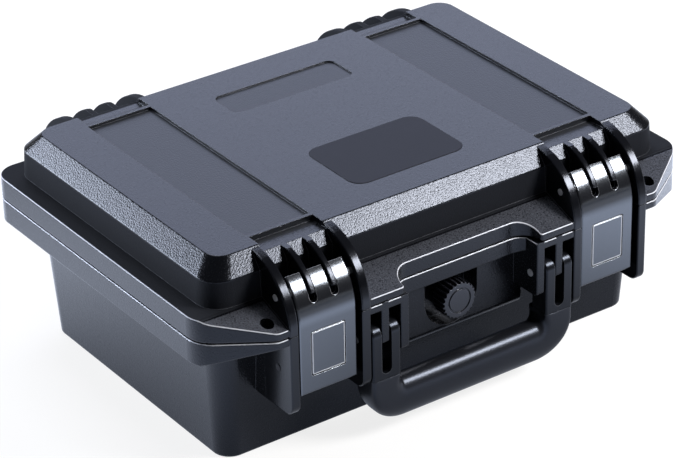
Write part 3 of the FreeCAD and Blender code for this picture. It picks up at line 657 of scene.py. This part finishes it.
floorSetup = {   # metres; near and full are a distance and a strength, fadeTo a distance and a share
    "middle": (0.03, -0.02, 0), "half": 6.0,
    "colour": (0.2, 0.2, 0.2), "seen": 0.82, "white": (1.0, 1.0, 1.0), "glow": (0.87, 0.96, 1.17),
    "near": (0.15, 0.38), "full": (0.26, 1.78), "fadeFrom": 0.3, "fadeTo": (0.5, 0.15),
}
# whiteTo and dimFrom are heights on a unit sphere
skySetup = {"seen": 1.0, "over": 0.08, "whiteTo": 0.0, "dimFrom": 0.03}
lampSetup = {   # degrees from +y towards +x and above the floor, metres, radiance as seen from the case
    "backLeft": {"bearing": -43, "elevation": 12, "distance": 1.3, "size": (0.7, 0.48), "radiance": 17.5,
                 "colour": (0.9, 0.97, 1.12)},
    "backRight": {"bearing": 35, "elevation": 29, "distance": 1.7, "size": (1.9, 1.1), "radiance": 1.85,
                  "colour": (0.8, 0.88, 1.16)},
    "backTop": {"bearing": 5, "elevation": 66, "distance": 1.4, "size": (0.7, 0.6), "radiance": 7.0,
                "colour": (0.95, 0.98, 1.06)},
    "front": {"bearing": 141, "elevation": 36, "distance": 1.3, "size": (0.44, 0.34), "radiance": 47.0,
              "colour": (1.02, 1.0, 0.99)},
}


def addFloor(setup):
    # camera and transmission rays see an even white floor, other rays its paint
    # glossy rays see a bluish glow on it, which grows with the distance and then fades
    half = setup["half"]
    corners = [(-half, -half, 0), (half, -half, 0), (half, half, 0), (-half, half, 0)]
    mesh = bpy.data.meshes.new("floor")
    mesh.from_pydata(corners, [], [(0, 1, 2, 3)])
    floor = bpy.data.objects.new("floor", mesh)
    scene.collection.objects.link(floor)
    material = bpy.data.materials.new("paleFloor")
    material.use_nodes = True
    tree = material.node_tree
    tree.nodes.clear()
    output = put(tree, "ShaderNodeOutputMaterial")
    paint = put(tree, "ShaderNodeBsdfDiffuse", Color=opaque(setup["colour"]))
    rays = put(tree, "ShaderNodeLightPath").outputs
    place = put(tree, "ShaderNodeTexCoord")
    away = put(tree, "ShaderNodeVectorMath", operation="DISTANCE")
    glow = put(tree, "ShaderNodeEmission")
    both = put(tree, "ShaderNodeAddShader")
    feed(tree, away.inputs[0], place.outputs["Object"])
    feed(tree, away.inputs[1], setup["middle"])
    distance = away.outputs["Value"]
    (nearAt, nearGlow), (fullAt, fullGlow) = setup["near"], setup["full"]
    fadeAt, fadeShare = setup["fadeTo"]
    grow = remap(tree, distance, (nearAt, fullAt), (nearGlow, fullGlow))
    fade = remap(tree, distance, (setup["fadeFrom"], fadeAt), (1.0, fadeShare))
    mirrored = join(tree, "MULTIPLY", grow, fade, rays["Is Glossy Ray"])
    direct = join(tree, "MAXIMUM", rays["Is Camera Ray"], rays["Is Transmission Ray"])
    seen = join(tree, "MULTIPLY", direct, setup["seen"])
    tone = blend(tree, "RGBA", rays["Is Glossy Ray"], opaque(setup["white"]), opaque(setup["glow"]))
    wire(tree, tone, glow.inputs["Color"])
    wire(tree, join(tree, "ADD", seen, mirrored), glow.inputs["Strength"])
    wire(tree, paint.outputs["BSDF"], both.inputs[0])
    wire(tree, glow.outputs["Emission"], both.inputs[1])
    wire(tree, both.outputs["Shader"], output.inputs["Surface"])
    mesh.materials.append(material)


def addSky(setup):
    # white at the horizon, dim above it
    world = bpy.data.worlds.new("studio")
    scene.world = world
    world.use_nodes = True
    tree = world.node_tree
    tree.nodes.clear()
    output = put(tree, "ShaderNodeOutputWorld")
    sky = put(tree, "ShaderNodeBackground", Color=(1.0, 1.0, 1.0, 1.0))
    direction = put(tree, "ShaderNodeTexCoord")
    split = put(tree, "ShaderNodeSeparateXYZ")
    fade = put(tree, "ShaderNodeMapRange", interpolation_type="SMOOTHSTEP", From_Min=setup["whiteTo"],
               From_Max=setup["dimFrom"], To_Min=setup["seen"], To_Max=setup["over"])
    wire(tree, direction.outputs["Generated"], split.inputs["Vector"])
    wire(tree, split.outputs["Z"], fade.inputs["Value"])
    wire(tree, fade.outputs["Result"], sky.inputs["Strength"])
    wire(tree, sky.outputs["Background"], output.inputs["Surface"])


def addLamp(name, setup):
    data = bpy.data.lights.new(name, "AREA")
    data.shape = "RECTANGLE"
    data.size, data.size_y = setup["size"]
    data.energy = setup["radiance"] * math.pi * data.size * data.size_y
    data.color = setup["colour"]
    lamp = bpy.data.objects.new(name, data)
    scene.collection.objects.link(lamp)
    bearing, elevation = math.radians(setup["bearing"]), math.radians(setup["elevation"])
    flat = math.cos(elevation)
    towards = Vector((math.sin(bearing) * flat, math.cos(bearing) * flat, math.sin(elevation)))
    lamp.location = (cadLow + cadHigh) / 2 + towards * setup["distance"]
    lamp.rotation_mode = "QUATERNION"
    lamp.rotation_quaternion = (-towards).to_track_quat("-Z", "Y")
    lamp.visible_camera = False


addFloor(floorSetup)
addSky(skySetup)
for lampName, setup in lampSetup.items():
    addLamp(lampName, setup)
print("stage:", len(lampSetup), "lamps")
